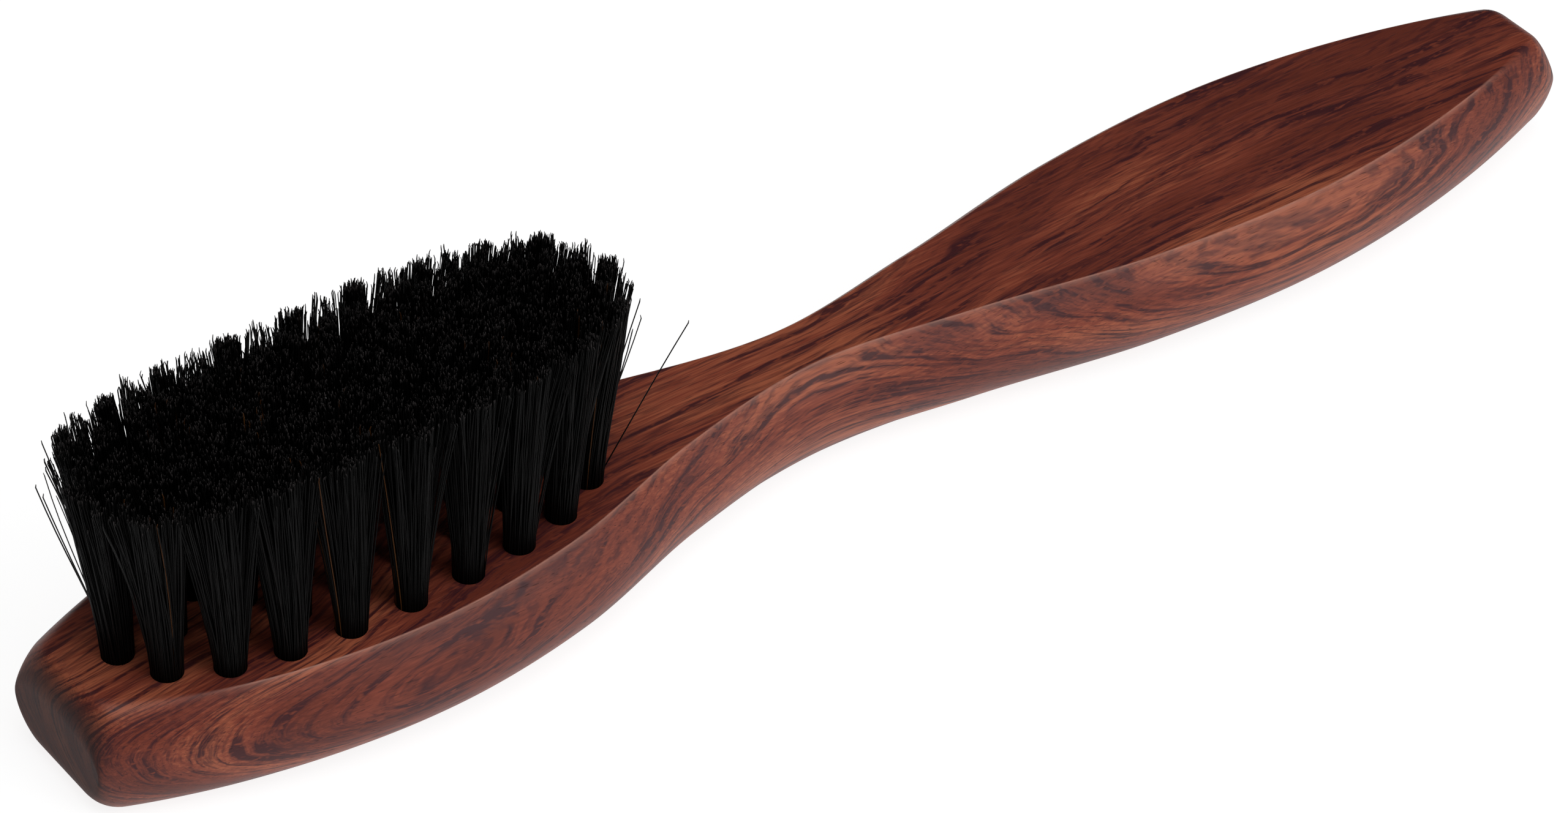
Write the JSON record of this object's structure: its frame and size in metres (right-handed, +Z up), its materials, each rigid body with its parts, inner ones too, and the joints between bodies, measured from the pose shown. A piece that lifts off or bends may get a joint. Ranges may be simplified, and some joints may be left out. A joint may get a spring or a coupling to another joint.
{
  "type": "beard brush",
  "caption": "Handled beard brush: one-piece hardwood body with a slim neck and a flat working face, oval field of stiff dark bristle tufts set in blind holes.",
  "frame": {"origin": "middle of the footprint, on the surface that the back rests on", "axes": "+X from the head end to the handle end, +Z up out of the bristle tips, +Y to the side"},
  "size_m": [0.175, 0.0296, 0.0316],
  "materials": {
    "wood": "sanded and oiled reddish-brown hardwood, satin",
    "bristle": "black natural bristle, glossy along the hair",
    "anchor_wire": "rolled flat wire, cut"
  },
  "bodies": {
    "root": {"anchor_ring_01": "anchor_wire", "anchor_ring_02": "anchor_wire", "anchor_ring_03": "anchor_wire", "anchor_ring_04": "anchor_wire", "anchor_ring_05": "anchor_wire", "anchor_ring_06": "anchor_wire", "anchor_ring_07": "anchor_wire", "anchor_ring_08": "anchor_wire", "anchor_ring_09": "anchor_wire", "anchor_ring_10": "anchor_wire", "anchor_ring_11": "anchor_wire", "anchor_ring_12": "anchor_wire", "anchor_ring_13": "anchor_wire", "anchor_ring_14": "anchor_wire", "anchor_ring_15": "anchor_wire", "anchor_ring_16": "anchor_wire", "anchor_ring_17": "anchor_wire", "anchor_ring_18": "anchor_wire", "anchor_ring_19": "anchor_wire", "anchor_ring_20": "anchor_wire", "brush_body": "wood", "tuft_inner_01": "bristle", "tuft_inner_02": "bristle", "tuft_inner_03": "bristle", "tuft_inner_04": "bristle", "tuft_inner_05": "bristle", "tuft_inner_06": "bristle", "tuft_inner_07": "bristle", "tuft_inner_08": "bristle", "tuft_inner_09": "bristle", "tuft_inner_10": "bristle", "tuft_inner_11": "bristle", "tuft_inner_12": "bristle", "tuft_inner_13": "bristle", "tuft_inner_14": "bristle", "tuft_middle_01": "bristle", "tuft_middle_02": "bristle", "tuft_middle_03": "bristle", "tuft_middle_04": "bristle", "tuft_middle_05": "bristle", "tuft_ring_01": "bristle", "tuft_ring_02": "bristle", "tuft_ring_03": "bristle", "tuft_ring_04": "bristle", "tuft_ring_05": "bristle", "tuft_ring_06": "bristle", "tuft_ring_07": "bristle", "tuft_ring_08": "bristle", "tuft_ring_09": "bristle", "tuft_ring_10": "bristle", "tuft_ring_11": "bristle", "tuft_ring_12": "bristle", "tuft_ring_13": "bristle", "tuft_ring_14": "bristle", "tuft_ring_15": "bristle", "tuft_ring_16": "bristle", "tuft_ring_17": "bristle", "tuft_ring_18": "bristle", "tuft_ring_19": "bristle", "tuft_ring_20": "bristle"}
  },
  "joints": []
}
